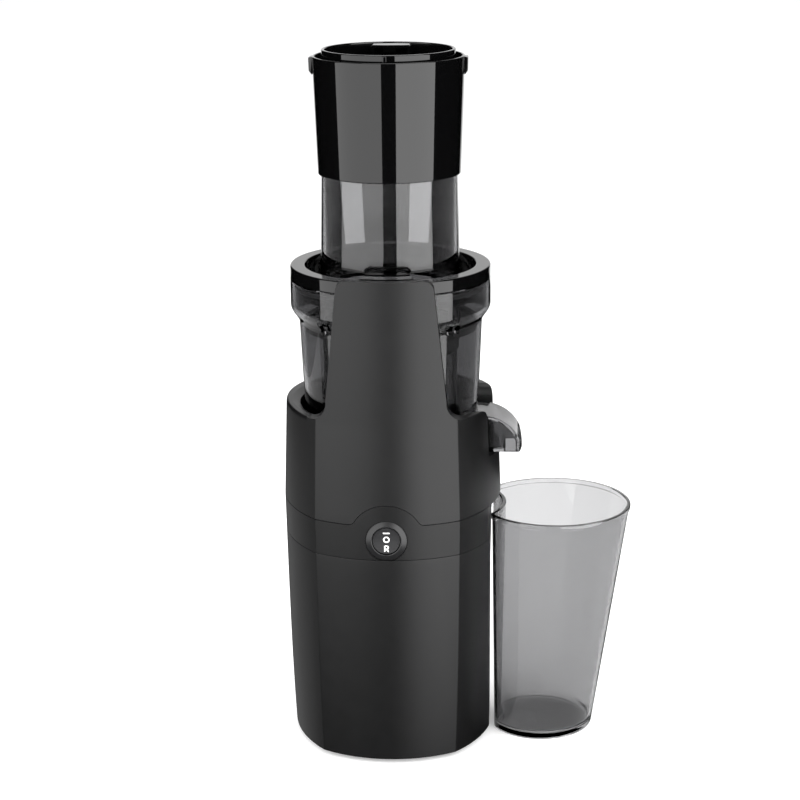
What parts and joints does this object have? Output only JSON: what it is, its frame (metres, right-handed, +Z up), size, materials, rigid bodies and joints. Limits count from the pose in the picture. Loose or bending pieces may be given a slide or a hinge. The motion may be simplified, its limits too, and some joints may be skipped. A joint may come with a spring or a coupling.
{
  "type": "cold press juicer",
  "caption": "Upright slow juicer with a wide feed tube and pusher, lift-off smoked bowl with auger and strainer, geared motor base, rocker switch and nested cup.",
  "frame": {"origin": "on the table under the press axis, at the middle of the foot ring", "axes": "+Z up along the press axis, -Y towards the switch and the tongue, +X towards the juice spout and the cup, +Y towards the pulp outlet and the cable gland"},
  "size_m": [0.2208, 0.1589, 0.4392],
  "materials": {
    "soft_touch_grey": "fine soft-touch matt over ABS",
    "soft_touch_dark": "fine soft-touch matt over ABS",
    "gloss_black": "high-gloss black ABS",
    "moulded_black": "lightly textured moulded plastic",
    "rocker_black": "satin nylon",
    "auger_black": "dense satin plastic",
    "foot_rubber": "matt rubber",
    "silicone_grey": "satin silicone",
    "smoked_clear": "clear smoked copolyester, polished",
    "cup_clear": "clear light smoked plastic, polished",
    "zinc_steel": "ground or zinc-plated steel",
    "lamination_steel": "stacked sheet steel",
    "strainer_steel": "etched stainless sheet",
    "cast_alloy": "as-cast zinc-aluminium",
    "gear_brass": "machined",
    "enamelled_copper": "varnished copper wire",
    "nylon_white": "natural nylon",
    "board_green": "solder-masked board"
  },
  "bodies": {
    "root": {"lower_casing": "soft_touch_grey", "control_band": "soft_touch_dark", "upper_casing": "soft_touch_grey", "tongue_cover": "gloss_black", "base_plate": "moulded_black", "foot_ring": "foot_rubber", "base_screws": "zinc_steel", "cable_gland": "foot_rubber", "bowl_deck": "moulded_black", "deck_screws": "zinc_steel", "shaft_seal": "silicone_grey", "gearbox_housing": "cast_alloy", "gearbox_screws": "zinc_steel", "motor_plate": "cast_alloy", "motor_bracket": "cast_alloy", "motor_bolts": "zinc_steel", "stator_core": "lamination_steel", "stator_windings": "enamelled_copper", "motor_bearings": "zinc_steel", "shaft_bearings": "zinc_steel", "gear_axle": "zinc_steel", "switch_body": "moulded_black", "switch_bezel": "gloss_black", "control_board": "board_green", "reed_sensor": "nylon_white"},
    "rocker": {"rocker": "rocker_black"},
    "rotor": {"rotor": "lamination_steel", "cooling_fan": "nylon_white", "motor_pinion": "gear_brass"},
    "compound_gear": {"compound_gear": "nylon_white"},
    "output": {"output_gear": "nylon_white", "drive_shaft": "zinc_steel"},
    "bowl": {"juice_bowl": "smoked_clear", "bowl_seal": "silicone_grey", "pulp_valve": "silicone_grey", "strainer_frame": "moulded_black", "strainer_mesh": "strainer_steel"},
    "auger": {"auger": "auger_black"},
    "gasket": {"lid_gasket": "silicone_grey"},
    "lid": {"lid_ring": "gloss_black", "lid_magnet": "zinc_steel", "feed_tube": "smoked_clear", "feed_collar": "gloss_black"},
    "pusher": {"pusher": "gloss_black"},
    "cup": {"juice_cup": "cup_clear"}
  },
  "joints": [
    {"name": "rocker_tilt", "type": "hinge", "parent": "root", "child": "rocker", "pos_m": [0, -0.0654, 0.1496], "axis": [1, 0, 0], "range_deg": [-9, 9]},
    {"name": "rotor_spin", "type": "hinge", "parent": "root", "child": "rotor", "pos_m": [0, 0, 0.07], "axis": [0, 0, 1], "continuous": true},
    {"name": "compound_gear_spin", "type": "hinge", "parent": "root", "child": "compound_gear", "pos_m": [0, 0.03, 0.12], "axis": [0, 0, 1], "continuous": true},
    {"name": "output_spin", "type": "hinge", "parent": "root", "child": "output", "pos_m": [0, 0, 0.15], "axis": [0, 0, 1], "continuous": true},
    {"name": "bowl_lift", "type": "slide", "parent": "root", "child": "bowl", "axis": [0, 0, 1], "range_m": [0, 0.14]},
    {"name": "auger_spin", "type": "hinge", "parent": "bowl", "child": "auger", "pos_m": [0, 0, 0.23], "axis": [0, 0, 1], "continuous": true},
    {"name": "lid_lift", "type": "slide", "parent": "bowl", "child": "gasket", "axis": [0, 0, 1], "range_m": [0, 0.06]},
    {"name": "lid_turn", "type": "hinge", "parent": "gasket", "child": "lid", "pos_m": [0, 0, 0.3], "axis": [0, 0, 1], "range_deg": [0, 30]},
    {"name": "pusher_lift", "type": "slide", "parent": "lid", "child": "pusher", "axis": [0, 0, 1], "range_m": [0, 0.08]},
    {"name": "cup_pull", "type": "slide", "parent": "root", "child": "cup", "axis": [1, 0, 0], "range_m": [0, 0.12]}
  ],
  "couplings": [
    {"joint": "compound_gear_spin", "follows": "rotor_spin", "ratio": -0.19048},
    {"joint": "output_spin", "follows": "rotor_spin", "ratio": 0.063492},
    {"joint": "auger_spin", "follows": "rotor_spin", "ratio": 0.063492}
  ]
}
